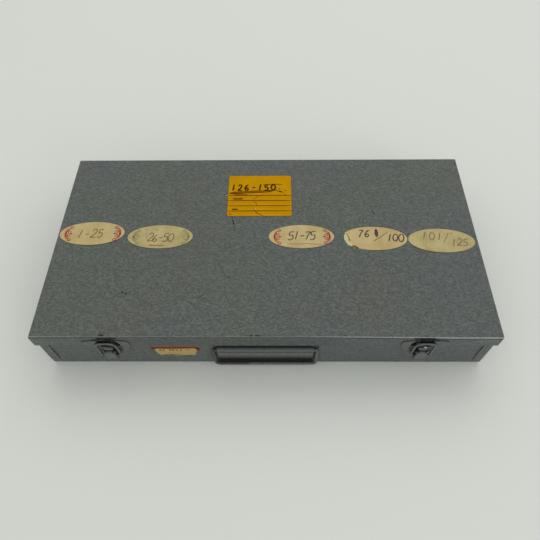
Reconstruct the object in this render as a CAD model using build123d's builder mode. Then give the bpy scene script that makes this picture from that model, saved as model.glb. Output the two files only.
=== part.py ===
from build123d import *
import os

os.makedirs("parts", exist_ok=True)

# A sheet-steel slide file: a folded tray with a slotted rack for 150 mounted slides, under a
# hinged lid with two draw latches and a drop handle on the front.
# Millimetres. The origin is the middle of the tray's underside; +X runs along the box, the
# front faces -Y and +Z is up.

# Driving dimensions of the box
LID_LENGTH = 378.0
LID_DEPTH = 198.0
BOX_HEIGHT = 54.0
SHEET = 0.8
LID_FLANGE = 14.0
LID_OVERHANG = 1.9
LID_HEADROOM = 0.8
SLIDE = 50.8
COLUMNS = 6
SLOTS = 25

# Tray and lid sizes that follow from them
TRAY_LENGTH = LID_LENGTH - 2 * LID_OVERHANG
TRAY_DEPTH = LID_DEPTH - 2 * LID_OVERHANG - 2 * SHEET
TRAY_TOP = BOX_HEIGHT - SHEET - LID_HEADROOM
FLANGE_EDGE = BOX_HEIGHT - LID_FLANGE
FRONT_Y = -TRAY_DEPTH / 2
BACK_Y = TRAY_DEPTH / 2
LID_BACK_Y = LID_DEPTH / 2
FLANGE_OUT = LID_DEPTH / 2 - TRAY_DEPTH / 2
TRAY_BEND = 1.6
LID_BEND = 1.3
LID_CORNER = 0.9
HEM = 6.0
LAP_TAB = 7.8
LAP_TAB_FOOT = 8.0
LID_TAB_FOOT = FLANGE_EDGE + 0.4
LID_TAB_HEIGHT = LID_FLANGE - 2.6

# Rivets
RIVET_SHANK = 1.2
RIVET_HOLE = 1.25
RIVET_HEAD = 2.1
RIVET_PROUD = 0.35
RIVET_TAIL = 1.7
RIVET_TAIL_THICK = 0.45

# Hinges
HINGE_X = 118.0
HINGE_LENGTH = 50.0
HINGE_Z = FLANGE_EDGE - 1.4
HINGE_PIN = 1.05
KNUCKLE_BORE = 1.1
KNUCKLE = KNUCKLE_BORE + SHEET
HINGE_Y = LID_BACK_Y + KNUCKLE
KNUCKLE_GAP = 0.2
CENTRE_KNUCKLE = 16.4
LID_LEAF_FOOT = FLANGE_EDGE + 1.2
LID_LEAF_TOP = BOX_HEIGHT - 2.2
TRAY_LEAF_FOOT = 18.0
JOGGLE_LOW = 32.6
JOGGLE_HIGH = 35.6
LEAF_CORNER = 3.0
HINGE_RIVET_X = 17.0
LID_RIVET_Z = 46.6
TRAY_RIVET_Z = 24.5
PIN_END = 0.5
PIN_END_PROUD = 0.45

# Handle
BAIL_WIRE = 1.4
BAIL_BORE = 1.45
BRACKET_SHEET = 0.9
BRACKET_HALF = 40.0
BARREL = BAIL_BORE + BRACKET_SHEET
BARREL_OUT = BARREL
BARREL_Z = 31.0
APRON_OUT = 2 * BARREL - 0.5
APRON_TOP = BARREL_Z - 2.6
APRON_SHEET = 1.1
BRACKET_FOOT = 5.4
BRACKET_FOOT_TOP = 8.6
BRACKET_BACK_FOOT = 20.0
BAIL_HALF = 43.1
BAIL_DROP = 27.5
BAIL_TOP_BEND = 2.2
BAIL_LOW_BEND = 4.0
BAIL_TRUNNION = 11.0
BEND_SLOT_X = 42.6
BEND_SLOT_Z = 35.0
BEND_SLOT = 4.6
BEND_SLOT_WIDTH = 2.6

# Latches
LATCH_X = 129.0
PLATE = 0.9
PLATE_SHOULDER = 18.0
PLATE_SHOULDER_DROP = 3.4
PLATE_TOE = 8.6
PLATE_TOE_CUT = 2.4
PLATE_TOP = FLANGE_EDGE - 0.8
PLATE_FOOT = 11.0
PIVOT_OUT = 4.0
PIVOT_Z = 30.0
LEVER_PIN = 0.8
LEVER_PIN_BORE = 0.85
LUG_IN = 2.7
LUG_SHEET = 0.8
LUG = 1.2
LUG_NECK = 1.05
LEVER_HALF = 4.4
LEVER_SHEET = 0.7
LEVER_FACE_OUT = 6.2
LEVER_FOOT_OUT = 4.5
LEVER_BACK_OUT = 1.7
LEVER_FOOT = 16.6
LEVER_LIP = 1.3
LEVER_RISE = 1.4
CRANK_DROP = 6.0
CRANK_OUT = 3.4
LEVER_TOP = PIVOT_Z + LEVER_RISE
CHEEK_TOP = PIVOT_Z + 2.3
CHEEK_TOP_OUT = PIVOT_OUT + 0.4
CHEEK_BACK_TOP = PIVOT_Z + 0.8
CHEEK_FOOT = PIVOT_Z - CRANK_DROP - 2.4
CHEEK_FOOT_OUT = LEVER_FOOT_OUT - 1.6
LOOP_WIRE = 0.95
LOOP_BORE = 1.0
LOOP_HALF = 7.9
LOOP_BAR_OUT = 4.95
LOOP_BAR_Z = 47.5
LOOP_BEND = 5.0
LOOP_FOOT_BEND = 1.3
LOOP_TRUNNION = 4.6
BOSS_FOOT = 33.2
BOSS_TOP = 38.4
BOSS_OUT = 4.4
BOSS_TAPER = 12
BOSS_CHAMFER = 0.6
STRIKE = 0.8
STRIKE_HALF = 19.0
STRIKE_FOOT = FLANGE_EDGE + 0.5
EAR_SIDE_TOP = 45.6
EAR_TOP = 48.6
EAR_ROUND = 3.0
CROWN_HALF = 10.5
CROWN_FOOT = 49.6
CROWN_TOP = 52.0
NOSE_HALF = 2.3
NOSE_TOP = LOOP_BAR_Z - LOOP_WIRE - 0.1
NOSE_FOOT = NOSE_TOP - STRIKE
NOSE_BEND_OUT = LOOP_BAR_OUT + 1.6
NOSE_TIP_OUT = LOOP_BAR_OUT + 3.1
WINDOW_HALF = 5.6
WINDOW_TOP = 50.7
STRIKE_RIVET_X = 14.0
STRIKE_RIVET_Z = 44.4
PLATE_RIVET_X = 13.0
PLATE_RIVET_Z = 35.2

# Slide rack: the dividers' slots leave each slide a little play across its column
SLIDE_PLAY = 2.0
RACK_SHEET = 0.7
RACK_TOP = 38.0
COLUMN_PITCH = 62.0
SLOT_PITCH = 7.4
SLOT_WIDTH = 2.8
SLOT_DEPTH = 2.4
SLOT_FOOT = 4.0
DIVIDER = COLUMN_PITCH - SLIDE - SLIDE_PLAY + 2 * SLOT_DEPTH
END_FACE = (COLUMNS * COLUMN_PITCH - DIVIDER) / 2
RACK_HALF = TRAY_LENGTH / 2 - SHEET - 0.2
RACK_END_GAP = 2.4
RACK_LENGTH = TRAY_DEPTH - 2 * SHEET - 2 * RACK_END_GAP
RAIL_TOP = 30.0

# Paper labels
PAPER = 0.2
OVAL_LENGTH = 59.0
OVAL_WIDTH = 26.2
OVALS = [
    ("label_oval_1", -157.9, 5.6, 1.5),
    ("label_oval_2", -95.5, 1.6, 0.5),
    ("label_oval_3", 31.8, 1.5, 0.0),
    ("label_oval_4", 97.0, -0.8, -1.0),
    ("label_oval_5", 156.6, -3.3, -2.5),
]
CARD_X = -6.4
CARD_Y = 50.8
CARD_LENGTH = 60.4
CARD_WIDTH = 51.0
CARD_CORNER = 2.5


def front(out=0.0, x=0.0):
    """A plane on the tray's front wall: local x is +X, local y is +Z, outwards is the normal."""
    return Plane(origin=(x, FRONT_Y - out, 0), x_dir=(1, 0, 0), z_dir=(0, -1, 0))


def back(out=0.0, x=0.0):
    """The same on the back wall: local x is -X, local y is +Z."""
    return Plane(origin=(x, BACK_Y + out, 0), x_dir=(-1, 0, 0), z_dir=(0, 1, 0))


def front_section(x=0.0):
    """A cross-section of the front wall: local x is how far out, local y is +Z."""
    return Plane(origin=(x, FRONT_Y, 0), x_dir=(0, -1, 0), z_dir=(-1, 0, 0))


def back_section(x=0.0):
    """A cross-section at the back: local x is +Y, local y is +Z."""
    return Plane(origin=(x, 0, 0), x_dir=(0, 1, 0), z_dir=(1, 0, 0))


def save(piece, name):
    piece.part.label = name
    export_step(piece.part, f"parts/{name}.step")


def rivets(seats, grip):
    """Low flat-headed rivets, one on each seat: a plane under the head, with its normal outwards."""
    with BuildPart() as one:
        with BuildSketch(Plane.XZ):
            with BuildLine():
                Polyline(
                    (0, RIVET_PROUD),
                    (0, -grip - RIVET_TAIL_THICK),
                    (RIVET_TAIL, -grip - RIVET_TAIL_THICK),
                    (RIVET_TAIL, -grip),
                    (RIVET_SHANK, -grip),
                    (RIVET_SHANK, 0),
                    (RIVET_HEAD, 0),
                    (RIVET_HEAD - RIVET_PROUD, RIVET_PROUD),
                    close=True,
                )
            make_face()
        revolve(axis=Axis.Z)
    with BuildPart() as group:
        for seat in seats:
            add(seat.location * one.part)
    return group


def wire(path, radius):
    """A round wire along a path of straight runs and bends, made one run or bend at a time."""
    with BuildPart() as rod:
        for edge in path.edges():
            with BuildSketch(Plane(origin=edge @ 0, z_dir=edge % 0)):
                Circle(radius)
            if edge.geom_type == GeomType.LINE:
                extrude(amount=edge.length)
            else:
                turn_axis = Axis(edge.arc_center, (edge % 0).cross(edge % 1))
                revolve(axis=turn_axis, revolution_arc=(edge % 0).get_angle(edge % 1))
    return rod


def make_tray():
    with BuildPart() as tray:
        with BuildSketch(Plane.XY):
            Rectangle(TRAY_LENGTH, TRAY_DEPTH)
        extrude(amount=TRAY_TOP)
        fillet(tray.edges().group_by(Axis.Z)[0], TRAY_BEND)
        offset(amount=-SHEET, openings=tray.faces().sort_by(Axis.Z)[-1])
        # The top edge is hemmed inwards.
        with BuildSketch(Plane.XY.offset(TRAY_TOP - HEM)):
            Rectangle(TRAY_LENGTH - SHEET, TRAY_DEPTH - SHEET)
            Rectangle(TRAY_LENGTH - 4 * SHEET, TRAY_DEPTH - 4 * SHEET, mode=Mode.SUBTRACT)
        extrude(amount=HEM)
        # Tabs folded from the end walls lap over the front and back walls.
        with BuildSketch(Plane.XY.offset(LAP_TAB_FOOT)):
            with GridLocations(TRAY_LENGTH - LAP_TAB, TRAY_DEPTH + SHEET, 2, 2):
                Rectangle(LAP_TAB, SHEET)
        extrude(amount=TRAY_TOP - LAP_TAB_FOOT)
        corners = tray.edges().filter_by(Axis.Z).filter_by_position(
            Axis.X, -TRAY_LENGTH, -TRAY_LENGTH / 2 + 0.01
        ) + tray.edges().filter_by(Axis.Z).filter_by_position(Axis.X, TRAY_LENGTH / 2 - 0.01, TRAY_LENGTH)
        fillet([e for e in corners if abs(e.center().Y) > TRAY_DEPTH / 2 + SHEET / 2], SHEET)
        # Rivet holes for the latch plates, and slots behind the handle's bends.
        for x in (-LATCH_X, LATCH_X):
            with BuildSketch(front(x=x)):
                with Locations((-PLATE_RIVET_X, PLATE_RIVET_Z), (PLATE_RIVET_X, PLATE_RIVET_Z)):
                    Circle(RIVET_HOLE)
            extrude(amount=-SHEET, mode=Mode.SUBTRACT)
        with BuildSketch(front()):
            with Locations((-BEND_SLOT_X, BEND_SLOT_Z), (BEND_SLOT_X, BEND_SLOT_Z)):
                SlotOverall(BEND_SLOT, BEND_SLOT_WIDTH, rotation=90)
        extrude(amount=-SHEET, mode=Mode.SUBTRACT)
        for x in (-HINGE_X, HINGE_X):
            with BuildSketch(back(x=x)):
                with Locations((-HINGE_RIVET_X, TRAY_RIVET_Z), (HINGE_RIVET_X, TRAY_RIVET_Z)):
                    Circle(RIVET_HOLE)
            extrude(amount=-SHEET, mode=Mode.SUBTRACT)
    save(tray, "tray")


def make_lid():
    with BuildPart() as lid:
        with BuildSketch(Plane.XY.offset(FLANGE_EDGE)):
            Rectangle(LID_LENGTH, LID_DEPTH)
        extrude(amount=LID_FLANGE)
        fillet(lid.edges().filter_by(Axis.Z), LID_CORNER)
        fillet(lid.edges().group_by(Axis.Z)[-1], LID_BEND)
        offset(amount=-SHEET, openings=lid.faces().sort_by(Axis.Z)[0])
        # Tabs folded from the front and back flanges lie inside the end flanges.
        with BuildSketch(Plane.XY.offset(LID_TAB_FOOT)):
            with GridLocations(LID_LENGTH - 3 * SHEET, LID_DEPTH - 2 * SHEET - LAP_TAB, 2, 2):
                Rectangle(SHEET, LAP_TAB)
        extrude(amount=LID_TAB_HEIGHT)
        for x in (-LATCH_X, LATCH_X):
            with BuildSketch(front(FLANGE_OUT, x)):
                with Locations((-STRIKE_RIVET_X, STRIKE_RIVET_Z), (STRIKE_RIVET_X, STRIKE_RIVET_Z)):
                    Circle(RIVET_HOLE)
                with Locations((0, (NOSE_TOP + WINDOW_TOP) / 2)):
                    Rectangle(2 * WINDOW_HALF, WINDOW_TOP - NOSE_TOP)
            extrude(amount=-SHEET, mode=Mode.SUBTRACT)
        for x in (-HINGE_X, HINGE_X):
            with BuildSketch(back(FLANGE_OUT, x)):
                with Locations((-HINGE_RIVET_X, LID_RIVET_Z), (HINGE_RIVET_X, LID_RIVET_Z)):
                    Circle(RIVET_HOLE)
            extrude(amount=-SHEET, mode=Mode.SUBTRACT)
    save(lid, "lid")


def make_hinge(side, x):
    half = HINGE_LENGTH / 2
    centre = CENTRE_KNUCKLE / 2
    outer = half - centre - KNUCKLE_GAP
    with BuildPart() as lid_leaf:
        with BuildSketch(back(FLANGE_OUT, x)):
            with Locations((0, (LID_LEAF_FOOT + LID_LEAF_TOP) / 2)):
                Rectangle(HINGE_LENGTH, LID_LEAF_TOP - LID_LEAF_FOOT)
            with Locations((-HINGE_RIVET_X, LID_RIVET_Z), (HINGE_RIVET_X, LID_RIVET_Z)):
                Circle(RIVET_HOLE, mode=Mode.SUBTRACT)
        extrude(amount=SHEET)
        corners = lid_leaf.edges().filter_by(Axis.Y).group_by(Axis.Z)[-1]
        fillet(corners, LEAF_CORNER)
        with BuildSketch(back_section(x)):
            with Locations((LID_BACK_Y + SHEET / 2, (HINGE_Z + LID_LEAF_FOOT) / 2)):
                Rectangle(SHEET, LID_LEAF_FOOT - HINGE_Z)
            with Locations((HINGE_Y, HINGE_Z)):
                Circle(KNUCKLE)
        extrude(amount=centre, both=True)
        with BuildSketch(back_section(x)):
            with Locations((HINGE_Y, HINGE_Z)):
                Circle(KNUCKLE_BORE)
        extrude(amount=centre, both=True, mode=Mode.SUBTRACT)
    save(lid_leaf, f"hinge_{side}_lid_leaf")

    with BuildPart() as tray_leaf:
        with BuildSketch(back_section(x - half)):
            with BuildLine():
                Polyline(
                    (BACK_Y, TRAY_LEAF_FOOT),
                    (BACK_Y + SHEET, TRAY_LEAF_FOOT),
                    (BACK_Y + SHEET, JOGGLE_LOW),
                    (LID_BACK_Y + SHEET, JOGGLE_HIGH),
                    (LID_BACK_Y, JOGGLE_HIGH),
                    (BACK_Y, JOGGLE_LOW + 0.3),
                    close=True,
                )
            make_face()
        extrude(amount=HINGE_LENGTH)
        corners = tray_leaf.edges().filter_by(Axis.Y).group_by(Axis.Z)[0]
        fillet(corners, LEAF_CORNER)
        for start in (x - half, x + half - outer):
            with BuildSketch(back_section(start)):
                with Locations((LID_BACK_Y + SHEET / 2, (HINGE_Z + JOGGLE_HIGH) / 2)):
                    Rectangle(SHEET, HINGE_Z - JOGGLE_HIGH)
                with Locations((HINGE_Y, HINGE_Z)):
                    Circle(KNUCKLE)
            extrude(amount=outer)
        with BuildSketch(back_section(x)):
            with Locations((HINGE_Y, HINGE_Z)):
                Circle(KNUCKLE_BORE)
        extrude(amount=half, both=True, mode=Mode.SUBTRACT)
        with BuildSketch(back(x=x)):
            with Locations((-HINGE_RIVET_X, TRAY_RIVET_Z), (HINGE_RIVET_X, TRAY_RIVET_Z)):
                Circle(RIVET_HOLE)
        extrude(amount=SHEET, mode=Mode.SUBTRACT)
    save(tray_leaf, f"hinge_{side}_tray_leaf")

    with BuildPart() as pin:
        with BuildSketch(back_section(x - half)):
            with Locations((HINGE_Y, HINGE_Z)):
                Circle(HINGE_PIN)
        extrude(amount=HINGE_LENGTH)
        # Upset ends keep the pin in the knuckles.
        for start, way in ((x - half, -1), (x + half, 1)):
            with BuildSketch(back_section(start)):
                with Locations((HINGE_Y, HINGE_Z)):
                    Circle(HINGE_PIN + PIN_END_PROUD)
            extrude(amount=way * PIN_END)
    save(pin, f"hinge_{side}_pin")


def seat_on(plane, x, z):
    """The plane moved to a point given by its own local x and y."""
    return Plane(plane.location * Pos(x, z, 0))


def make_hinge_rivets():
    lid_seats = []
    tray_seats = []
    for x in (-HINGE_X, HINGE_X):
        for side in (-HINGE_RIVET_X, HINGE_RIVET_X):
            lid_seats.append(seat_on(back(FLANGE_OUT + SHEET, x), side, LID_RIVET_Z))
            tray_seats.append(seat_on(back(SHEET, x), side, TRAY_RIVET_Z))
    save(rivets(lid_seats, 2 * SHEET), "hinge_lid_rivets")
    save(rivets(tray_seats, 2 * SHEET), "hinge_tray_rivets")


def make_handle():
    with BuildPart() as bracket:
        # One strip: a foot on the wall, a sloping apron, the barrel, and a leg down the wall.
        with BuildSketch(front_section()):
            with BuildLine():
                Polyline(
                    (0, BRACKET_FOOT),
                    (BRACKET_SHEET, BRACKET_FOOT),
                    (BRACKET_SHEET, BRACKET_FOOT_TOP),
                    (APRON_OUT, APRON_TOP),
                    (APRON_OUT + 0.4, BARREL_Z - 0.9),
                    (BARREL_OUT, BARREL_Z),
                    (APRON_OUT - APRON_SHEET, APRON_TOP),
                    (0, BRACKET_FOOT_TOP + 0.2),
                    close=True,
                )
            make_face()
            with Locations((BRACKET_SHEET / 2, (BRACKET_BACK_FOOT + BARREL_Z) / 2)):
                Rectangle(BRACKET_SHEET, BARREL_Z - BRACKET_BACK_FOOT)
            with Locations((BARREL_OUT, BARREL_Z)):
                Circle(BARREL)
                Circle(BAIL_BORE, mode=Mode.SUBTRACT)
        extrude(amount=BRACKET_HALF, both=True)
    save(bracket, "handle_bracket")

    inner = BRACKET_HALF - BAIL_TRUNNION
    low = BARREL_Z - BAIL_DROP
    out = FRONT_Y - BARREL_OUT
    with BuildLine() as path:
        FilletPolyline(
            (-inner, out, BARREL_Z),
            (-BAIL_HALF, out, BARREL_Z),
            (-BAIL_HALF, out, low),
            (BAIL_HALF, out, low),
            (BAIL_HALF, out, BARREL_Z),
            (inner, out, BARREL_Z),
            radius=[BAIL_TOP_BEND, BAIL_LOW_BEND, BAIL_LOW_BEND, BAIL_TOP_BEND],
        )
    save(wire(path, BAIL_WIRE), "handle_bail")


def make_latch(side, x):
    with BuildPart() as plate:
        with BuildSketch(front(x=x)):
            with BuildLine():
                Polyline(
                    (-PLATE_SHOULDER, PLATE_TOP),
                    (-PLATE_SHOULDER, PLATE_TOP - PLATE_SHOULDER_DROP),
                    (-PLATE_TOE, PLATE_FOOT + PLATE_TOE_CUT),
                    (-PLATE_TOE + PLATE_TOE_CUT, PLATE_FOOT),
                    (PLATE_TOE - PLATE_TOE_CUT, PLATE_FOOT),
                    (PLATE_TOE, PLATE_FOOT + PLATE_TOE_CUT),
                    (PLATE_SHOULDER, PLATE_TOP - PLATE_SHOULDER_DROP),
                    (PLATE_SHOULDER, PLATE_TOP),
                    close=True,
                )
            make_face()
            with Locations((-PLATE_RIVET_X, PLATE_RIVET_Z), (PLATE_RIVET_X, PLATE_RIVET_Z)):
                Circle(RIVET_HOLE, mode=Mode.SUBTRACT)
        extrude(amount=PLATE)
        # The boss above the lever is pressed outwards.
        with BuildSketch(front(PLATE, x)):
            with Locations((0, (BOSS_FOOT + BOSS_TOP) / 2)):
                Rectangle(2 * LEVER_HALF - 0.4, BOSS_TOP - BOSS_FOOT)
        extrude(amount=BOSS_OUT - PLATE, taper=BOSS_TAPER)
        chamfer(plate.faces().sort_by(Axis.Y)[0].edges(), BOSS_CHAMFER)
        # Two lugs are bent up to hold the lever's pin.
        for start in (LUG_IN, -LUG_IN - LUG_SHEET):
            with BuildSketch(front_section(x + start)):
                with Locations(((PLATE + PIVOT_OUT) / 2, PIVOT_Z)):
                    Rectangle(PIVOT_OUT - PLATE, 2 * LUG_NECK)
                with Locations((PIVOT_OUT, PIVOT_Z)):
                    Circle(LUG)
                    Circle(LEVER_PIN_BORE, mode=Mode.SUBTRACT)
            extrude(amount=-LUG_SHEET)
    save(plate, f"latch_{side}_plate")

    with BuildPart() as lever:
        # A channel with its back to the front of the box, open towards the wall.
        with BuildSketch(front_section(x + LEVER_HALF)):
            with BuildLine():
                Polyline(
                    (LEVER_FOOT_OUT, LEVER_FOOT),
                    (LEVER_FACE_OUT, LEVER_TOP),
                    (CHEEK_TOP_OUT, CHEEK_TOP),
                    (LEVER_BACK_OUT, CHEEK_BACK_TOP),
                    (LEVER_BACK_OUT, CHEEK_FOOT),
                    (CHEEK_FOOT_OUT, LEVER_FOOT),
                    close=True,
                )
            make_face()
        extrude(amount=2 * LEVER_HALF)
        with BuildSketch(front_section(x + LEVER_HALF - LEVER_SHEET)):
            with BuildLine():
                Polyline(
                    (0, LEVER_FOOT),
                    (LEVER_FOOT_OUT - LEVER_SHEET, LEVER_FOOT),
                    (LEVER_FACE_OUT - LEVER_SHEET, LEVER_TOP),
                    (LEVER_FACE_OUT - LEVER_SHEET, LEVER_TOP + 2.0),
                    (0, LEVER_TOP + 2.0),
                    close=True,
                )
            make_face()
        extrude(amount=2 * (LEVER_HALF - LEVER_SHEET), mode=Mode.SUBTRACT)
        # The lower end curls out as a finger lip.
        with BuildSketch(front_section(x + LEVER_HALF - 0.3)):
            with BuildLine():
                Polyline(
                    (LEVER_FOOT_OUT - LEVER_SHEET, LEVER_FOOT),
                    (LEVER_FOOT_OUT - LEVER_SHEET + 0.1, LEVER_FOOT - 0.9),
                    (LEVER_FOOT_OUT + 0.6, LEVER_FOOT - LEVER_LIP),
                    (LEVER_FOOT_OUT + 0.8, LEVER_FOOT - LEVER_LIP + 0.6),
                    (LEVER_FOOT_OUT, LEVER_FOOT),
                    close=True,
                )
            make_face()
        extrude(amount=2 * LEVER_HALF - 0.6)
        with BuildSketch(front_section(x)):
            with Locations((PIVOT_OUT, PIVOT_Z)):
                Circle(LEVER_PIN_BORE)
            with Locations((CRANK_OUT, PIVOT_Z - CRANK_DROP)):
                Circle(LOOP_BORE)
        extrude(amount=LEVER_HALF, both=True, mode=Mode.SUBTRACT)
    save(lever, f"latch_{side}_lever")

    with BuildPart() as pin:
        with BuildSketch(front_section(x)):
            with Locations((PIVOT_OUT, PIVOT_Z)):
                Circle(LEVER_PIN)
        extrude(amount=LEVER_HALF + 0.1, both=True)
        for start, way in ((x + LEVER_HALF + 0.1, -1), (x - LEVER_HALF - 0.1, 1)):
            with BuildSketch(front_section(start)):
                with Locations((PIVOT_OUT, PIVOT_Z)):
                    Circle(LEVER_PIN + PIN_END_PROUD)
            extrude(amount=way * PIN_END)
    save(pin, f"latch_{side}_lever_pin")

    leg_out = FRONT_Y - CRANK_OUT
    bar_out = FRONT_Y - LOOP_BAR_OUT
    foot = PIVOT_Z - CRANK_DROP
    with BuildLine() as path:
        FilletPolyline(
            (x - LOOP_HALF + LOOP_TRUNNION, leg_out, foot),
            (x - LOOP_HALF, leg_out, foot),
            (x - LOOP_HALF, bar_out, LOOP_BAR_Z),
            (x + LOOP_HALF, bar_out, LOOP_BAR_Z),
            (x + LOOP_HALF, leg_out, foot),
            (x + LOOP_HALF - LOOP_TRUNNION, leg_out, foot),
            radius=[LOOP_FOOT_BEND, LOOP_BEND, LOOP_BEND, LOOP_FOOT_BEND],
        )
    save(wire(path, LOOP_WIRE), f"latch_{side}_loop")

    with BuildPart() as strike:
        with BuildSketch(front(FLANGE_OUT, x)):
            with BuildLine():
                Polyline((-STRIKE_HALF, STRIKE_FOOT), (STRIKE_HALF, STRIKE_FOOT), (STRIKE_HALF, EAR_SIDE_TOP))
                TangentArc((STRIKE_HALF, EAR_SIDE_TOP), (STRIKE_HALF - EAR_ROUND, EAR_TOP), tangent=(0, 1))
                Line((STRIKE_HALF - EAR_ROUND, EAR_TOP), (CROWN_HALF, CROWN_FOOT))
                ThreePointArc((CROWN_HALF, CROWN_FOOT), (0, CROWN_TOP), (-CROWN_HALF, CROWN_FOOT))
                Line((-CROWN_HALF, CROWN_FOOT), (EAR_ROUND - STRIKE_HALF, EAR_TOP))
                TangentArc((-STRIKE_HALF, EAR_SIDE_TOP), (EAR_ROUND - STRIKE_HALF, EAR_TOP), tangent=(0, 1))
                Line((-STRIKE_HALF, EAR_SIDE_TOP), (-STRIKE_HALF, STRIKE_FOOT))
            make_face()
            with Locations((-STRIKE_RIVET_X, STRIKE_RIVET_Z), (STRIKE_RIVET_X, STRIKE_RIVET_Z)):
                Circle(RIVET_HOLE, mode=Mode.SUBTRACT)
            with Locations((0, (NOSE_TOP + WINDOW_TOP) / 2)):
                Rectangle(2 * WINDOW_HALF, WINDOW_TOP - NOSE_TOP, mode=Mode.SUBTRACT)
        extrude(amount=STRIKE)
        # The nose is lanced out of the window and turned up a little at its tip.
        root = FLANGE_OUT + STRIKE - 0.3
        with BuildSketch(front_section(x + NOSE_HALF)):
            with BuildLine():
                Polyline(
                    (root, NOSE_FOOT),
                    (NOSE_BEND_OUT, NOSE_FOOT),
                    (NOSE_TIP_OUT, NOSE_FOOT + 0.4),
                    (NOSE_TIP_OUT - 0.1, NOSE_TOP + 0.3),
                    (NOSE_BEND_OUT, NOSE_TOP),
                    (root, NOSE_TOP),
                    close=True,
                )
            make_face()
        extrude(amount=2 * NOSE_HALF)
    save(strike, f"latch_{side}_strike")

    plate_face = front(PLATE, x)
    plate_xs = (-PLATE_RIVET_X, PLATE_RIVET_X)
    plate_seats = [seat_on(plate_face, across, PLATE_RIVET_Z) for across in plate_xs]
    strike_face = front(FLANGE_OUT + STRIKE, x)
    strike_xs = (-STRIKE_RIVET_X, STRIKE_RIVET_X)
    strike_seats = [seat_on(strike_face, across, STRIKE_RIVET_Z) for across in strike_xs]
    save(rivets(plate_seats, PLATE + SHEET), f"latch_{side}_plate_rivets")
    save(rivets(strike_seats, STRIKE + SHEET), f"latch_{side}_strike_rivets")


def rack_channel(name, left, right, slotted):
    """An upside-down channel on the tray's floor, with slots cut in from its slotted walls."""
    with BuildPart() as channel:
        with BuildSketch(Plane(origin=(0, RACK_LENGTH / 2, 0), x_dir=(1, 0, 0), z_dir=(0, -1, 0))):
            with Locations(((left + right) / 2, RACK_TOP - RACK_SHEET / 2)):
                Rectangle(right - left, RACK_SHEET)
            for face, inwards in slotted:
                with Locations((face + inwards * RACK_SHEET / 2, (SHEET + RACK_TOP) / 2)):
                    Rectangle(RACK_SHEET, RACK_TOP - SHEET)
        extrude(amount=RACK_LENGTH)
        for face, inwards in slotted:
            with BuildSketch(Plane(origin=(face, 0, 0), x_dir=(0, 1, 0), z_dir=(1, 0, 0))):
                with Locations((0, (SLOT_FOOT + RACK_TOP) / 2)):
                    with GridLocations(SLOT_PITCH, 1, SLOTS, 1):
                        Rectangle(SLOT_WIDTH, RACK_TOP - SLOT_FOOT)
            extrude(amount=inwards * SLOT_DEPTH, mode=Mode.SUBTRACT)
    save(channel, name)


def make_rack():
    for number in range(1, COLUMNS):
        left = (number - COLUMNS / 2) * COLUMN_PITCH - DIVIDER / 2
        rack_channel(f"rack_divider_{number}", left, left + DIVIDER, [(left, 1), (left + DIVIDER, -1)])
    rack_channel("rack_end_strip_left", -RACK_HALF, -END_FACE, [(-END_FACE, -1)])
    rack_channel("rack_end_strip_right", END_FACE, RACK_HALF, [(END_FACE, 1)])
    for side, way in (("front", -1), ("back", 1)):
        with BuildPart() as rail:
            with BuildSketch(Plane.XY.offset(SHEET)):
                with Locations((0, way * (RACK_LENGTH + RACK_SHEET) / 2)):
                    Rectangle(2 * (RACK_HALF - TRAY_BEND), RACK_SHEET)
            extrude(amount=RAIL_TOP - SHEET)
        save(rail, f"rack_rail_{side}")


def make_labels():
    for name, x, y, turn in OVALS:
        with BuildPart() as oval:
            with BuildSketch(Plane(Location((x, y, BOX_HEIGHT), (0, 0, turn)))):
                Ellipse(OVAL_LENGTH / 2, OVAL_WIDTH / 2)
                if name == "label_oval_4":
                    # Its left end is torn away.
                    with BuildLine():
                        Polyline(
                            (-30.0, -10.0),
                            (-22.5, -9.6),
                            (-25.4, -5.2),
                            (-21.6, -2.4),
                            (-26.2, 0.8),
                            (-24.0, 4.2),
                            (-27.0, 6.0),
                            (-30.0, 6.0),
                            close=True,
                        )
                    make_face(mode=Mode.SUBTRACT)
            extrude(amount=PAPER)
        save(oval, name)

    with BuildPart() as card:
        with BuildSketch(Plane.XY.offset(BOX_HEIGHT)):
            with Locations((CARD_X, CARD_Y)):
                RectangleRounded(CARD_LENGTH, CARD_WIDTH, CARD_CORNER)
        extrude(amount=PAPER)
    save(card, "label_card")

    # The front label is torn to a wide upper band and a narrower body.
    with BuildPart() as torn:
        with BuildSketch(front()):
            with BuildLine():
                Polyline(
                    (-97.0, 31.9),
                    (-95.6, 28.6),
                    (-93.0, 27.6),
                    (-92.2, 19.4),
                    (-89.0, 15.2),
                    (-83.5, 16.4),
                    (-76.0, 14.6),
                    (-66.5, 16.0),
                    (-60.2, 15.4),
                    (-58.6, 21.5),
                    (-57.4, 27.8),
                    (-54.8, 28.4),
                    (-55.4, 32.2),
                    (-74.0, 31.4),
                    close=True,
                )
            make_face()
        extrude(amount=PAPER)
    save(torn, "label_front")


make_tray()
make_lid()
for hinge_side, hinge_x in (("left", -HINGE_X), ("right", HINGE_X)):
    make_hinge(hinge_side, hinge_x)
make_hinge_rivets()
make_handle()
for latch_side, latch_x in (("left", -LATCH_X), ("right", LATCH_X)):
    make_latch(latch_side, latch_x)
make_rack()
make_labels()
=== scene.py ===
import math
import random

import bmesh
import bpy
from mathutils import Matrix, Vector


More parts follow.
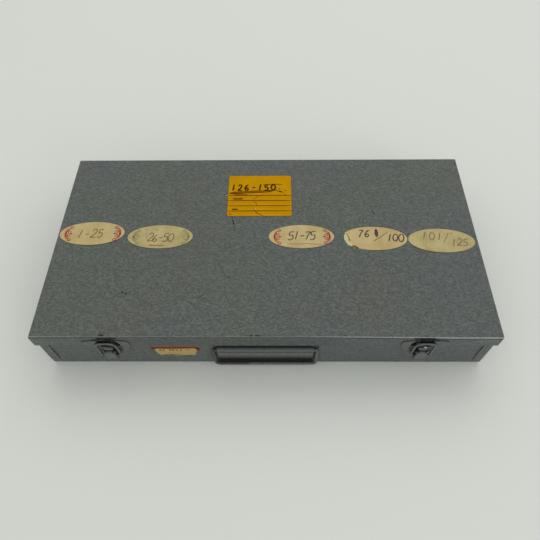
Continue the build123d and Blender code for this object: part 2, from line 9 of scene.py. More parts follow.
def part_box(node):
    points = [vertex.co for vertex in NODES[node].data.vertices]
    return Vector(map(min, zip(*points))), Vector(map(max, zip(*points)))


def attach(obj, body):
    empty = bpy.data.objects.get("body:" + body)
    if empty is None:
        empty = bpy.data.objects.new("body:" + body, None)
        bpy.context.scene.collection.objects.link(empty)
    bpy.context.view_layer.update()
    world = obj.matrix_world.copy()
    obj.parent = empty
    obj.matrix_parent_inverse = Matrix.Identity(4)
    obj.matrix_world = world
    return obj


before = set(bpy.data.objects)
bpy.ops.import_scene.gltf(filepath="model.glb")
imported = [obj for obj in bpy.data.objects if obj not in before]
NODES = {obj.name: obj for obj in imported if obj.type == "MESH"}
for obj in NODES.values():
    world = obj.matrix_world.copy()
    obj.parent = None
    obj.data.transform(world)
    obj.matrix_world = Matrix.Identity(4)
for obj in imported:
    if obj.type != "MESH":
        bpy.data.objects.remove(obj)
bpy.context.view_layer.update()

# The grey steel slide file on its table, closed, as the photograph shows it. Lengths are in metres.

MM = 0.001
LID_LOW, LID_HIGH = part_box("lid")
SIDES = (("left", 1), ("right", -1))

# The camera was fitted to the corners of the lid and the tray in the photograph.
IMAGE_SIDE = 540
FOCAL_PIXELS = 502.75
CAMERA_PLACE = Vector((8.94, -273.2, 414.97)) * MM
CAMERA_YAW = -0.0215
CAMERA_DIP = 0.9866
CAMERA_ROLL = 0.0193
SENSOR_WIDTH = 36.0
NEAREST = 0.01
FARTHEST = 50


def linear(step):
    """One channel from 0 to 255, as the light that it stands for."""
    value = step / 255
    return value / 12.92 if value <= 0.04045 else ((value + 0.055) / 1.055) ** 2.4


def colour(red, green, blue):
    """A shader colour from the three channels of a picture colour."""
    return (linear(red), linear(green), linear(blue), 1.0)


def make_camera():
    forward = Vector((
        math.sin(CAMERA_YAW) * math.cos(CAMERA_DIP),
        math.cos(CAMERA_YAW) * math.cos(CAMERA_DIP),
        -math.sin(CAMERA_DIP),
    ))
    level = Vector((math.cos(CAMERA_YAW), -math.sin(CAMERA_YAW), 0))
    down = forward.cross(level)
    right = level * math.cos(CAMERA_ROLL) + down * math.sin(CAMERA_ROLL)
    up = level * math.sin(CAMERA_ROLL) - down * math.cos(CAMERA_ROLL)
    data = bpy.data.cameras.new("camera")
    data.sensor_width = SENSOR_WIDTH
    data.lens = SENSOR_WIDTH * FOCAL_PIXELS / IMAGE_SIDE
    data.clip_start = NEAREST
    data.clip_end = FARTHEST
    camera = bpy.data.objects.new("camera", data)
    turn = Matrix((right, up, -forward)).transposed().to_4x4()
    camera.matrix_world = Matrix.Translation(CAMERA_PLACE) @ turn
    bpy.context.scene.collection.objects.link(camera)
    bpy.context.scene.camera = camera


class Finish:
    """One procedural material: a principled shader and short calls for the nodes that feed it."""

    def __init__(self, name, **values):
        self.material = bpy.data.materials.new(name)
        self.material.use_nodes = True
        self.tree = self.material.node_tree
        self.shader = self.tree.nodes["Principled BSDF"]
        for words, value in values.items():
            self.feed(words.replace("_", " ").title().replace("Ior", "IOR"), value)

    def feed(self, socket, value):
        self.join(self.shader.inputs[socket], value)

    def join(self, socket, value):
        if isinstance(value, bpy.types.NodeSocket):
            self.tree.links.new(value, socket)
        else:
            socket.default_value = value

    def node(self, kind, inputs=(), **settings):
        made = self.tree.nodes.new("ShaderNode" + kind)
        for name, value in settings.items():
            setattr(made, name, value)
        for key, value in dict(inputs).items():
            self.join(made.inputs[key], value)
        return made

    def place(self, stretch=(1, 1, 1), offset=(0, 0, 0)):
        """The point of the surface in the object's own frame, in metres."""
        point = self.node("TexCoord").outputs["Object"]
        mapping = self.node("Mapping", {"Vector": point, "Location": offset, "Scale": stretch})
        return mapping.outputs[0]

    def along(self, axis):
        """Where the surface is along one axis of the object's own frame, in metres."""
        return self.node("SeparateXYZ", {0: self.place()}).outputs[axis]

    def off(self, value, place):
        """How far a value is from a place, either way."""
        return self.calc("ABSOLUTE", self.calc("SUBTRACT", value, place))

    def gap(self, axis, place):
        """How far the surface is from a plane across that axis, in metres."""
        return self.off(self.along(axis), place)

    def noise(self, size, detail, rough=0.5, twist=0.0, stretch=(1, 1, 1), offset=(0, 0, 0)):
        """Noise whose largest lumps are about that size in metres."""
        inputs = {
            "Vector": self.place(stretch, offset),
            "Scale": 1 / size,
            "Detail": detail,
            "Roughness": rough,
            "Distortion": twist,
        }
        return self.node("TexNoise", inputs).outputs[0]

    def range(self, value, low, high, to_low=0.0, to_high=1.0):
        inputs = {"Value": value, "From Min": low, "From Max": high, "To Min": to_low, "To Max": to_high}
        return self.node("MapRange", inputs).outputs[0]

    def calc(self, kind, first, second=0.0):
        return self.node("Math", {0: first, 1: second}, operation=kind).outputs[0]

    def times(self, *shares):
        """All those shares multiplied together."""
        product = shares[0]
        for share in shares[1:]:
            product = self.calc("MULTIPLY", product, share)
        return product

    def mix(self, share, first, second):
        made = self.node("Mix", data_type="RGBA")
        self.join(made.inputs["Factor"], share)
        colours = [s for s in made.inputs if s.type == "RGBA"]
        self.join(colours[0], first)
        self.join(colours[1], second)
        return [s for s in made.outputs if s.type == "RGBA"][0]

    def bump(self, height, depth, strength=1.0, under=None):
        inputs = {"Height": height, "Distance": depth, "Strength": strength}
        if under is not None:
            inputs["Normal"] = under
        return self.node("Bump", inputs).outputs[0]

    def corners(self, reach, low=0.75, high=0.97):
        """1 along sharp corners and 0 away from them."""
        soft = self.node("Bevel", {"Radius": reach}).outputs[0]
        true = self.node("NewGeometry").outputs["Normal"]
        flat = self.node("VectorMath", {0: soft, 1: true}, operation="DOT_PRODUCT").outputs["Value"]
        return self.range(flat, high, low)

    def recesses(self, reach, low=0.2, high=0.75):
        """1 deep in a recess and 0 on an open face."""
        openness = self.node("AmbientOcclusion", {"Distance": reach}, samples=8).outputs["AO"]
        return self.range(openness, high, low)


# The hammertone enamel: the lumps of its surface, its paler crests and darker hollows, partly its own tone
# and partly painted shade of the lumps, its patches of colder and warmer tones, worn corners, painted shade
# in the recesses and roughness. Levels are where a share starts and where it is whole, sometimes with the two
# values after them.

LUMP_SIZE = 2.2 * MM
LUMP_STRETCH = (0.9, 1.35, 1.2)
LUMP_SHARE = 0.88
SWELL_SIZE = 6.5 * MM
CREST_LEVELS = (0.36, 0.64)
GREEN_TONES = ((80, 86, 80), (103, 110, 103))
COLD_TONES = ((80, 85, 83), (103, 109, 107))
WARM_TONES = ((83, 85, 78), (106, 108, 100))
# The tray's enamel is bluer by this many steps: a painted tint of the bluer light on its front.
TRAY_LIGHT_TINT = 4
COLD_PATCH = 110 * MM
COLD_LEVELS = (0.44, 0.60)
WARM_PATCH = 80 * MM
WARM_OFFSET = (7, 3, 1)
WARM_LEVELS = (0.52, 0.70, 0.0, 0.7)
WORN_REACH = 0.6 * MM
WORN_PATCH = 10 * MM
WORN_LEVELS = (0.54, 0.62)
WORN_TONE = (50, 46, 42)
RECESS_REACH = 6 * MM
RECESS_SHARE = 0.75
ENAMEL_RECESS_SHADE = (36, 36, 35)
ENAMEL_ROUGH_PATCH = 20 * MM
ENAMEL_ROUGH = (0.3, 0.7, 0.36, 0.48)

# Light and shade painted on the lid's front edge: a darker middle of the flange, a dark line along the bend,
# a pale line above it as a painted highlight and a black patch over each latch. A line's place is how far the
# surface is below the top, less how far it is back from the front, and both lines drop to the right. A fade
# is where a share starts and where it is whole, sometimes with the two shares after them.

EDGE_TONE = (56, 58, 57)
PALE_TONE = (180, 186, 182)
PATCH_TONE = (14, 14, 14)
EDGE_FADE = (1.9 * MM, 1.5 * MM)
EDGE_DROP = (50 * MM, 150 * MM, 0.0, 1.2 * MM)
FLANGE_FADE = (1.5 * MM, 2.5 * MM)
FLANGE_MIDDLE = -25 * MM
FLANGE_MIDDLE_FADE = (105 * MM, 75 * MM, 0.0, 0.28)
DARK_PLACE = -0.25 * MM
DARK_DROP = 2.2
DARK_FADE = (1.0 * MM, 0.6 * MM)
DARK_SHARE = 0.85
PALE_PLACE = -1.0 * MM
PALE_FADE = (0.8 * MM, 0.4 * MM)
PALE_MIDDLE = -60 * MM
PALE_MIDDLE_FADE = (90 * MM, 230 * MM, 0.18, 1.0)
PALE_GLOSS = 0.14
PATCH_SHIFT = 2.6 * MM
PATCH_ACROSS_FADE = (9.6 * MM, 7 * MM)
PATCH_DROP = 1.3 * MM
PATCH_FADE = (1.1 * MM, 0.7 * MM, 0.0, 0.95)

# Shade painted on the handle's bracket, down from its top: darker and darker, with a crease along the barrel.

BRACKET_DARK_TONE = (12, 12, 12)
BRACKET_DARK_DROP = 8.5 * MM
BRACKET_DARK_DEPTH = 11 * MM
BRACKET_DARK_SHARE = 0.97
BRACKET_UNEVEN = 3 * MM
CREASE_TONE = (24, 25, 26)
CREASE_DROP = 2.8 * MM
CREASE_FADE = (1.4 * MM, 0.5 * MM, 0.0, 0.9)

# Shade painted on each strike, down from its top: its crown, and its foot with the root of the nose.

CROWN_TONE = (14, 14, 14)
CROWN_DROP = 0.8 * MM
CROWN_FADE = (2.8 * MM, 1.9 * MM)
CROWN_ACROSS_FADE = (11 * MM, 8.5 * MM)
CROWN_UNEVEN = (0.34, 0.5, 0.45, 0.97)
FOOT_TONE = (14, 6, 7)
FOOT_DROP = 8.6 * MM
FOOT_FADE = (3.6 * MM, 3.2 * MM)
FOOT_ACROSS_FADE = (6.6 * MM, 5.4 * MM)
FOOT_OUT_FADE = (4.4 * MM, 3.8 * MM)
FOOT_SHARE = 0.9

# The bail is rustier to the left.

BAIL_RUST_FADE = (-8 * MM, -20 * MM, 0.04, 0.34)


def hammertone(name, blue=0, shade=None):
    """Grey hammertone enamel: fine wrinkled lumps with pale crests and darker hollows, partly painted shade,
    and faint cold and warm patches.

    The whole can be a little bluer, as a painted tint of light, and shade(paint, body, rough) can paint light
    and shade on some places."""
    paint = Finish(name, specular_ior_level=0.4)
    lumps = paint.noise(LUMP_SIZE, 1.5, 0.5, 0.9, LUMP_STRETCH)
    swell = paint.noise(SWELL_SIZE, 2.0)
    height = paint.calc("ADD", paint.times(lumps, LUMP_SHARE), paint.times(swell, 1 - LUMP_SHARE))
    # The crests are paler and the hollows darker: partly the enamel's own tone, partly painted shade of the
    # lumps.
    crests = paint.range(height, *CREST_LEVELS)
    green, cold, warm = (
        paint.mix(crests, *(colour(r, g, b + blue) for r, g, b in tones))
        for tones in (GREEN_TONES, COLD_TONES, WARM_TONES)
    )
    body = paint.mix(paint.range(paint.noise(COLD_PATCH, 2.0), *COLD_LEVELS), green, cold)
    warm_patches = paint.noise(WARM_PATCH, 2.0, offset=WARM_OFFSET)
    body = paint.mix(paint.range(warm_patches, *WARM_LEVELS), body, warm)
    uneven = paint.range(paint.noise(WORN_PATCH, 4.0), *WORN_LEVELS)
    body = paint.mix(paint.times(paint.corners(WORN_REACH), uneven), body, colour(*WORN_TONE))
    # Painted shade: the enamel goes darker where the recess mask finds it hidden from open light.
    recesses = paint.times(paint.recesses(RECESS_REACH), RECESS_SHARE)
    body = paint.mix(recesses, body, colour(*ENAMEL_RECESS_SHADE))
    rough = paint.range(paint.noise(ENAMEL_ROUGH_PATCH, 3.0), *ENAMEL_ROUGH)
    if shade:
        body, rough = shade(paint, body, rough)
    paint.feed("Base Color", body)
    paint.feed("Normal", paint.bump(height, LUMP_SIZE, 1.0))
    paint.feed("Roughness", rough)
    return paint.material


def shade_front_edge(paint, body, rough):
    """The lid's enamel with light and shade painted on its front edge, as colour and roughness."""
    edge_y, edge_z = LID_LOW.y, LID_HIGH.z
    edge_shade = colour(*EDGE_TONE)
    outside = paint.range(paint.gap("Y", edge_y), *EDGE_FADE)
    back = paint.calc("SUBTRACT", paint.along("Y"), edge_y)
    down = paint.calc("SUBTRACT", paint.calc("SUBTRACT", edge_z, paint.along("Z")), back)
    drop = paint.range(paint.along("X"), *EDGE_DROP)

    flange = paint.times(outside, paint.range(down, *FLANGE_FADE))
    middle = paint.range(paint.gap("X", FLANGE_MIDDLE), *FLANGE_MIDDLE_FADE)
    body = paint.mix(paint.times(flange, middle), body, edge_shade)

    place = paint.calc("ADD", paint.times(drop, DARK_DROP), DARK_PLACE)
    dark = paint.times(outside, paint.range(paint.off(down, place), *DARK_FADE), DARK_SHARE)
    body = paint.mix(dark, body, edge_shade)

    # A painted highlight: a pale, glossier line round the bend.
    place = paint.calc("ADD", drop, PALE_PLACE)
    pale = paint.times(outside, paint.range(paint.off(down, place), *PALE_FADE))
    middle = paint.range(paint.gap("X", PALE_MIDDLE), *PALE_MIDDLE_FADE)
    body = paint.mix(paint.times(pale, middle), body, colour(*PALE_TONE))
    rough = paint.calc("SUBTRACT", rough, paint.times(pale, PALE_GLOSS))

    for side, inwards in SIDES:
        middle_x = middle_of(f"latch_{side}_strike").x + inwards * PATCH_SHIFT
        across = paint.range(paint.gap("X", middle_x), *PATCH_ACROSS_FADE)
        over = paint.range(paint.gap("Z", edge_z - PATCH_DROP), *PATCH_FADE)
        body = paint.mix(paint.times(across, over, outside), body, colour(*PATCH_TONE))
    return body, rough


# The smooth enamel of the fittings: its tones, the painted shade of its recesses, and the tones of its rust
# and worn corners.

FITTING_TONES = ((80, 85, 83), (98, 102, 100))
FITTING_PATCH = 4 * MM
# The tone painted into the fittings' recesses as shade.
DEEP_TONE = (9, 9, 10)
DEEP_REACH = 5 * MM
DEEP_LEVELS = (0.30, 0.82)
RUST_TONES = ((60, 28, 18), (98, 56, 40))
RUST_GRAIN = 1.2 * MM
RUST_PATCH = 5 * MM
RUST_LEVELS = (0.62, 0.72)
RUST_SHARE = 0.8
BARE_TONE = (128, 131, 130)
BARE_REACH = 0.3 * MM
BARE_PATCH = 3 * MM
BARE_LEVELS = (0.45, 0.6)
FITTING_ROUGH = (0.3, 0.7, 0.32, 0.55)
FITTING_GRAIN = 1.2 * MM
FITTING_GRAIN_DEPTH = 0.06 * MM

# Painted light in the bracket's recesses, paler than its enamel where shade falls, and the bail's darker
# rust.

BRACKET_RECESS_LIGHT = (110, 114, 114)
BAIL_RUST_TONES = ((24, 16, 13), (74, 54, 42))


def fittings_enamel(name, deep=DEEP_TONE, rust=RUST_TONES, more_rust=None, shade=None):
    """The same enamel, smooth, on the fittings: with painted shade in the recesses, rusty in spots, worn at
    corners.

    deep is the tone painted into the recesses: dark as painted shade, pale as painted light. more_rust(paint)
    makes some places rustier, and shade(paint, body) shades some places."""
    paint = Finish(name, specular_ior_level=0.5)
    body = paint.mix(paint.noise(FITTING_PATCH, 3.0), *(colour(*tone) for tone in FITTING_TONES))
    # The deep tone painted where the recess mask finds hidden surface: painted shade where it is dark,
    # painted light where it is pale.
    body = paint.mix(paint.recesses(DEEP_REACH, *DEEP_LEVELS), body, colour(*deep))
    spots = paint.noise(RUST_PATCH, 4.0, 0.65)
    if more_rust:
        spots = paint.calc("ADD", spots, more_rust(paint))
    rust_tones = paint.mix(paint.noise(RUST_GRAIN, 3.0), *(colour(*tone) for tone in rust))
    body = paint.mix(paint.times(paint.range(spots, *RUST_LEVELS), RUST_SHARE), body, rust_tones)
    uneven = paint.range(paint.noise(BARE_PATCH, 3.0), *BARE_LEVELS)
    body = paint.mix(paint.times(paint.corners(BARE_REACH), uneven), body, colour(*BARE_TONE))
    if shade:
        body = shade(paint, body)
    paint.feed("Base Color", body)
    paint.feed("Roughness", paint.range(paint.noise(BARE_PATCH, 3.0), *FITTING_ROUGH))
    paint.feed("Normal", paint.bump(paint.noise(FITTING_GRAIN, 4.0), FITTING_GRAIN_DEPTH, 0.6))
    return paint.material


def shade_bracket(paint, body):
    """The bracket's enamel, darker downwards, with its crease."""
    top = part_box("handle_bracket")[1].z
    streaks = paint.times(paint.noise(10 * MM, 3.0, stretch=(0.2, 1, 1)), BRACKET_UNEVEN)
    uneven = paint.calc("ADD", paint.along("Z"), streaks)
    start = top - BRACKET_DARK_DROP
    dark = paint.range(uneven, start, start - BRACKET_DARK_DEPTH, 0.0, BRACKET_DARK_SHARE)
    body = paint.mix(dark, body, colour(*BRACKET_DARK_TONE))
    crease = paint.range(paint.gap("Z", top - CREASE_DROP), *CREASE_FADE)
    return paint.mix(crease, body, colour(*CREASE_TONE))


def strike_shade(side):
    """Makes the function that shades the crown and the foot of that side's strike."""
    middle_x = middle_of(f"latch_{side}_strike").x
    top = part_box(f"latch_{side}_strike")[1].z

    def shade(paint, body):
        across = paint.range(paint.gap("X", middle_x), *CROWN_ACROSS_FADE)
        up = paint.range(paint.gap("Z", top - CROWN_DROP), *CROWN_FADE)
        uneven = paint.range(paint.noise(3 * MM, 3.0), *CROWN_UNEVEN)
        body = paint.mix(paint.times(across, up, uneven), body, colour(*CROWN_TONE))
        across = paint.range(paint.gap("X", middle_x), *FOOT_ACROSS_FADE)
        up = paint.range(paint.gap("Z", top - FOOT_DROP), *FOOT_FADE)
        start, whole = (LID_LOW.y - out for out in FOOT_OUT_FADE)
        near = paint.range(paint.along("Y"), start, whole, 0.0, FOOT_SHARE)
        return paint.mix(paint.times(across, up, near), body, colour(*FOOT_TONE))

    return shade


def rustier_left(paint):
    return paint.range(paint.along("X"), *BAIL_RUST_FADE)


# The steel of the pins and the enamel of the slide rack.

STEEL_TONES = ((150, 150, 148), (120, 120, 118))
STREAK_SIZE = 1.6 * MM
STREAK_STRETCH = (1, 6, 1)
STREAK_DEPTH = 0.02 * MM
STEEL_ROUGH = (0.3, 0.7, 0.22, 0.42)
RACK_TONES = ((104, 108, 105), (118, 121, 118))
RACK_BARE_TONE = (150, 151, 150)
RACK_BARE_LEVELS = (0.4, 0.6)


def pin_steel():
    """Bare steel with fine streaks and a few dull spots."""
    steel = Finish("pin_steel", metallic=1.0)
    streaks = steel.noise(STREAK_SIZE, 4.0, 0.6, stretch=STREAK_STRETCH)
    steel.feed("Base Color", steel.mix(streaks, *(colour(*tone) for tone in STEEL_TONES)))
    steel.feed("Roughness", steel.range(steel.noise(4 * MM, 4.0), *STEEL_ROUGH))
    steel.feed("Normal", steel.bump(streaks, STREAK_DEPTH, 0.4))
    return steel.material


def rack_paint():
    """Smooth grey enamel on the slide rack, rubbed bright along the slot corners."""
    paint = Finish("rack_enamel", roughness=0.45)
    body = paint.mix(paint.noise(20 * MM, 3.0), *(colour(*tone) for tone in RACK_TONES))
    uneven = paint.range(paint.noise(6 * MM, 3.0), *RACK_BARE_LEVELS)
    rubbed = paint.times(paint.corners(BARE_REACH), uneven)
    paint.feed("Base Color", paint.mix(rubbed, body, colour(*RACK_BARE_TONE)))
    paint.feed("Normal", paint.bump(paint.noise(2 * MM, 3.0), 0.05 * MM, 0.5))
    return paint.material


# The papers: the sizes of their blotches, fibres, specks and cockles, and how far the browned rim reaches.

BLOTCH_SIZE = 12 * MM
BLOTCH_LEVELS = (0.35, 0.7)
FIBRE_SIZE = 1.1 * MM
FIBRE_STRETCH = (1, 3, 1)
FIBRE_LEVELS = (0.45, 0.75)
FIBRE_DEPTH = 0.04 * MM
SPECK_SIZE = 4.2 * MM
SPECK_LEVELS = (0.62, 0.72)
RIM_REACH = 1.1 * MM
RIM_LEVELS = (0.7, 0.995)
RIM_SHARE = 0.55
COCKLE_SIZE = 8 * MM
COCKLE_DEPTH = 0.4 * MM


def old_paper(name, pale, dark, edge, stain=0.5, fibre=0.35, gloss=0.2):
    """Aged label paper: blotches, fibres, a browned rim and slight cockling."""
    paper = Finish(name, roughness=0.72, specular_ior_level=gloss)
    pale, dark, edge = (colour(*tone) for tone in (pale, dark, edge))
    blotch = paper.noise(BLOTCH_SIZE, 4.0, 0.6, 0.3)
    body = paper.mix(paper.range(blotch, *BLOTCH_LEVELS), pale, dark)
    fibres = paper.noise(FIBRE_SIZE, 3.0, 0.7, stretch=FIBRE_STRETCH)
    body = paper.mix(paper.times(paper.range(fibres, *FIBRE_LEVELS), fibre), body, dark)
    specks = paper.range(paper.noise(SPECK_SIZE, 4.0, 0.7), *SPECK_LEVELS)
    body = paper.mix(paper.times(specks, stain), body, edge)
    rim = paper.corners(RIM_REACH, *RIM_LEVELS)
    paper.feed("Base Color", paper.mix(paper.times(rim, RIM_SHARE), body, edge))
    cockle = paper.bump(paper.noise(COCKLE_SIZE, 2.0), COCKLE_DEPTH, 0.35)
    paper.feed("Normal", paper.bump(fibres, FIBRE_DEPTH, 0.5, cockle))
    return paper.material


def ink(name, dark, pale, rough=0.6, sheen_level=0.3):
    """Ink, print or a mark, whose tone is uneven along its length."""
    line = Finish(name, roughness=rough, specular_ior_level=sheen_level)
    uneven = line.range(line.noise(1.4 * MM, 4.0, 0.7), 0.35, 0.65)
    line.feed("Base Color", line.mix(uneven, colour(*dark), colour(*pale)))
    return line.material


def dress(material, *names):
    """Gives CAD nodes that material through their object's slots."""
    for name in names:
        for slot in NODES[name].material_slots:
            slot.material = material


def nodes_with(*words):
    return [n for n in sorted(NODES) if any(w in n for w in words)]


def middle_of(node):
    low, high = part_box(node)
    return (low + high) / 2


# Flat marks drawn on a face: ink, print, scratches. Each is a thin closed body of its own.

INK_PROUD = 0.03 * MM
INK_SUNK = 0.02 * MM
SMOOTH_STEPS = 5
STROKE_END = 0.55
STROKE_UNEVEN = (0.85, 1.15)


def smooth(points):
    """Points along a smooth curve through the given ones, closed if the first and last are the same."""
    closed = points[0] == points[-1] and len(points) > 3
    row = [Vector(p) for p in points]
    before = row[-2] if closed else row[0] * 2 - row[1]
    after = row[1] if closed else row[-1] * 2 - row[-2]
    row = [before] + row + [after]
    path = []
    for i in range(1, len(row) - 2):
        a, b, c, d = row[i - 1:i + 3]
        for k in range(SMOOTH_STEPS):
            t = k / SMOOTH_STEPS
            path.append(0.5 * (2 * b + (c - a) * t + (2 * a - 5 * b + 4 * c - d) * t ** 2
                               + (3 * b - a - 3 * c + d) * t ** 3))
    path.append(row[-2])
    return path


def add_slab(mesh, plane, low_side, high_side):
    """Adds one closed thin body between two rows of points, which run along its two long sides."""
    rings = []
    for height in (INK_PROUD, -INK_SUNK):
        rings.append([
            [mesh.verts.new(plane @ Vector((p.x, p.y, height))) for p in side]
            for side in (low_side, high_side)
        ])
    (top_low, top_high), (base_low, base_high) = rings
    last = len(low_side) - 1
    for i in range(last):
        mesh.faces.new((top_low[i], top_low[i + 1], top_high[i + 1], top_high[i]))
        mesh.faces.new((base_low[i], base_high[i], base_high[i + 1], base_low[i + 1]))
        mesh.faces.new((top_low[i], base_low[i], base_low[i + 1], top_low[i + 1]))
        mesh.faces.new((top_high[i], top_high[i + 1], base_high[i + 1], base_high[i]))
    mesh.faces.new((top_low[0], top_high[0], base_high[0], base_low[0]))
    mesh.faces.new((top_low[last], base_low[last], base_high[last], top_high[last]))


def add_stroke(mesh, plane, points, width, dice):
    """Adds a pen stroke through points in the plane's own frame, thinner at both ends."""
    path = smooth(points)
    low_side, high_side = [], []
    for i, point in enumerate(path):
        ahead = path[min(i + 1, len(path) - 1)] - path[max(i - 1, 0)]
        side = Vector((-ahead.y, ahead.x)).normalized()
        ends = min(i, len(path) - 1 - i)
        half = width / 2 * (STROKE_END if ends == 0 else 1.0) * dice.uniform(*STROKE_UNEVEN)
        low_side.append(point - side * half)
        high_side.append(point + side * half)
    add_slab(mesh, plane, low_side, high_side)


def add_patch(mesh, plane, outline):
    """Adds a filled closed outline as one thin body."""
    top = [mesh.verts.new(plane @ Vector((x, y, INK_PROUD))) for x, y in outline]
    base = [mesh.verts.new(plane @ Vector((x, y, -INK_SUNK))) for x, y in outline]
    mesh.faces.new(top)
    mesh.faces.new(base[::-1])
    for i in range(len(top)):
        j = (i + 1) % len(top)
        mesh.faces.new((top[i], base[i], base[j], top[j]))


def finish_mesh(mesh, name, material, body):
    """Makes an object of the mesh, with its material, which rides on a body and fills a slot."""
    bmesh.ops.recalc_face_normals(mesh, faces=mesh.faces)
    data = bpy.data.meshes.new(name)
    mesh.to_mesh(data)
    mesh.free()
    piece = bpy.data.objects.new(name, data)
    piece.data.materials.append(material)
    bpy.context.scene.collection.objects.link(piece)
    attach(piece, body)


def top_plane(node, tilt_degrees=0.0):
    """The plane on top of a label of the lid, with its origin at the label's middle."""
    middle = middle_of(node)
    middle.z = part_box(node)[1].z
    return Matrix.Translation(middle) @ Matrix.Rotation(math.radians(tilt_degrees), 4, "Z")


def front_plane(x, y, z):
    """A vertical plane that faces the front, with x to the right and y up."""
    return Matrix.Translation((x, y, z)) @ Matrix.Rotation(math.radians(90), 4, "X")


# Hand-written figures, those that the labels need: each is a stroke through a few points in a box 1 high.

FIGURES = {
    "0": [(0.30, 1.0), (0.06, 0.8), (0.02, 0.38), (0.22, 0.02), (0.46, 0.18), (0.52, 0.66), (0.3, 1.0)],
    "1": [(0.30, 1.0), (0.25, 0.5), (0.20, 0.0)],
    "2": [(0.04, 0.78), (0.22, 1.0), (0.46, 0.82), (0.34, 0.44), (0.02, 0.04), (0.52, 0.06)],
    "5": [(0.46, 0.98), (0.12, 0.94), (0.08, 0.58), (0.38, 0.56), (0.44, 0.2), (0.22, 0.0), (0.02, 0.1)],
    "6": [(0.40, 0.98), (0.12, 0.62), (0.04, 0.2), (0.24, 0.0), (0.44, 0.2), (0.28, 0.42), (0.06, 0.24)],
    "7": [(0.04, 0.92), (0.50, 0.96), (0.30, 0.5), (0.20, 0.0)],
    "-": [(0.08, 0.46), (0.50, 0.5)],
}
FIGURE_LIFT = (-0.05, 0.05)
FIGURE_UNEVEN = (0.94, 1.06)


def write(mesh, plane, text, start, height, width, dice, lean, step):
    """Adds figures by hand from a start point: each is a little off in height and place."""
    x, y = start
    for letter in text:
        lift = dice.uniform(*FIGURE_LIFT) * height
        size = height * dice.uniform(*FIGURE_UNEVEN)
        points = [(x + (px + lean * py) * size, y + lift + py * size) for px, py in FIGURES[letter]]
        add_stroke(mesh, plane, points, width, dice)
        x += height * step


# The scroll at each end of an oval: a C of two lines, a curl at each tip, two inner curls, a dot and a leaf.

SCROLL_MIDDLE = 22.2 * MM
SCROLL_SHIFT = 0.7 * MM
SCROLL_DROP = 0.4 * MM
SCROLL_HALF_HEIGHT = 6.7 * MM
SCROLL_LINE = 0.88 * MM
C_SCALES = (1.0, 0.76)
C_DEPTH = 3.7 * MM
C_HALF_HEIGHT = SCROLL_HALF_HEIGHT * 0.90
C_SHIFT = 0.7 * MM
C_ANGLES = range(-80, 81, 20)
DOT_RADIUS = 0.7 * MM
DOT_PLACE = C_DEPTH * 0.66
DOT_TURN = 320
SCROLL_SEED = 20
LEAF = ((-3.6 * MM, 0), (-2.4 * MM, 0.95 * MM), (-0.8 * MM, 0), (-2.4 * MM, -0.95 * MM))

# The curls of the upper half: middle, radius, start and turn in degrees, growth and width of the line.

CURLS = (
    (-1.7 * MM, SCROLL_HALF_HEIGHT, 1.4 * MM, 200, -340, -0.2, SCROLL_LINE),
    (-0.6 * MM, 2.0 * MM, 1.5 * MM, -100, 320, -0.35, SCROLL_LINE * 0.9),
)


def ring(x, y, radius, start, turn, points=9, grow=0.0):
    """Points round an arc, whose radius may grow along it."""
    row = []
    for i in range(points):
        share = i / (points - 1)
        angle = math.radians(start + turn * share)
        reach = radius * (1 + grow * share)
        row.append((x + reach * math.cos(angle), y + reach * math.sin(angle)))
    return row


def scroll(lines, solids, plane, end, dice):
    """Adds the scroll at one end of a label: end is -1 for the left and 1 for the right."""
    def flip(points):
        return [(SCROLL_SHIFT + end * (SCROLL_MIDDLE + x), y - SCROLL_DROP) for x, y in points]

    for scale in C_SCALES:
        arc = [
            (C_DEPTH * scale * math.cos(a) - C_SHIFT, C_HALF_HEIGHT * scale * math.sin(a))
            for a in map(math.radians, C_ANGLES)
        ]
        add_stroke(lines, plane, flip(arc), SCROLL_LINE, dice)
    for up in (-1, 1):
        for x, y, radius, start, turn, grow, width in CURLS:
            curl = ring(x, up * y, radius, start * up, turn * up, grow=grow)
            add_stroke(lines, plane, flip(curl), width, dice)
    add_patch(solids, plane, flip(ring(DOT_PLACE, 0, DOT_RADIUS, 0, DOT_TURN)))
    add_patch(solids, plane, flip(LEAF))


# What is written on the ovals: the numbers of the slides below each.
# Rows: number, tilt in degrees, width of the line in mm, and the words. A word is its figures, its start and
# height in mm, and the step from figure to figure.

OVAL_ROWS = (
    (1, 0.8, 0.95, (("1-25", (-13.6, -5.0), 9.3, 0.66),)),
    (2, 0.3, 0.95, (("26-50", (-11.4, -5.4), 8.8, 0.52),)),
    (3, 0.0, 1.05, (("51-75", (-12.2, -3.8), 9.4, 0.52),)),
    (4, -1.5, 1.2, (("76", (-16.4, 1.0), 8.6, 0.72), ("100", (9.6, -3.2), 8.4, 0.60))),
    (5, -2.5, 0.95, (("101", (-17.6, 0.4), 8.4, 0.80), ("125", (8.0, -5.6), 7.6, 0.68))),
)
OVAL_LEAN = 0.14


def draw(name, material, node, body, slot, strokes=(), patches=(), seed=1, plane=None):
    """One mesh of marks on a face: strokes are (points in mm, width in mm), patches are outlines in mm."""
    dice = random.Random(seed)
    plane = plane or top_plane(node)
    mesh = bmesh.new()
    for points, width in strokes:
        add_stroke(mesh, plane, [(x * MM, y * MM) for x, y in points], width * MM, dice)
    for outline in patches:
        add_patch(mesh, plane, [(x * MM, y * MM) for x, y in outline])
    finish_mesh(mesh, name, material, body)


def make_oval_figures(inks):
    """The figures on the five ovals, each in its own ink."""
    for (number, tilt, width, words), material in zip(OVAL_ROWS, inks):
        dice = random.Random(number)
        plane = top_plane(f"label_oval_{number}", tilt)
        mesh = bmesh.new()
        for text, (x, y), height, step in words:
            write(mesh, plane, text, (x * MM, y * MM), height * MM, width * MM, dice, OVAL_LEAN, step)
        finish_mesh(mesh, f"oval_{number}_figures", material, "lid")


